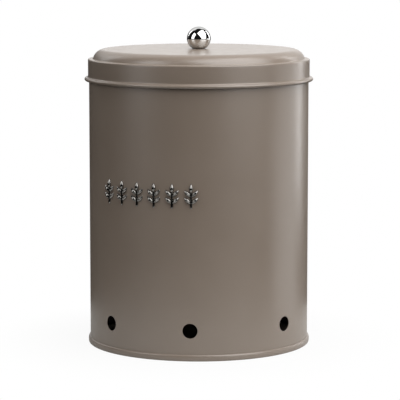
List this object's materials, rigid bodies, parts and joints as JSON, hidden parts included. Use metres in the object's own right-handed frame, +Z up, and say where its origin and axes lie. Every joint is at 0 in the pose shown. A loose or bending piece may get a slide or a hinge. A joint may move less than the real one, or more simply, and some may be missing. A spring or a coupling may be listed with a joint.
{
  "type": "onion bin",
  "caption": "Round sheet-metal kitchen canister for onions, with air vents near the base, a raised front ornament and a lift-off domed lid with a ball knob.",
  "frame": {"origin": "on the ground under the middle of the bin, at the centre of the bottom of the bounding box", "axes": "+Z up along the bin's axis; -Y is the front, where the row of ornaments is centred; +X is to the right seen from the front"},
  "size_m": [0.1926, 0.1926, 0.2675],
  "materials": {
    "paint": "satin warm taupe powder coat",
    "chrome": "dark smoky chrome plate on the ornaments",
    "knob_chrome": "mirror-polished chrome plate on the knob",
    "zinc_steel": "zinc-plated steel"
  },
  "bodies": {
    "bin": {"body_shell": "paint", "base_plate": "paint", "sprig_1": "chrome", "sprig_2": "chrome", "sprig_3": "chrome", "sprig_4": "chrome", "sprig_5": "chrome", "sprig_6": "chrome"},
    "lid": {"lid_shell": "paint", "knob_ball": "knob_chrome", "knob_washer": "zinc_steel", "knob_screw": "zinc_steel"}
  },
  "joints": [
    {"name": "lid_lift", "type": "slide", "parent": "bin", "child": "lid", "axis": [0, 0, 1], "range_m": [0, 0.15]}
  ]
}
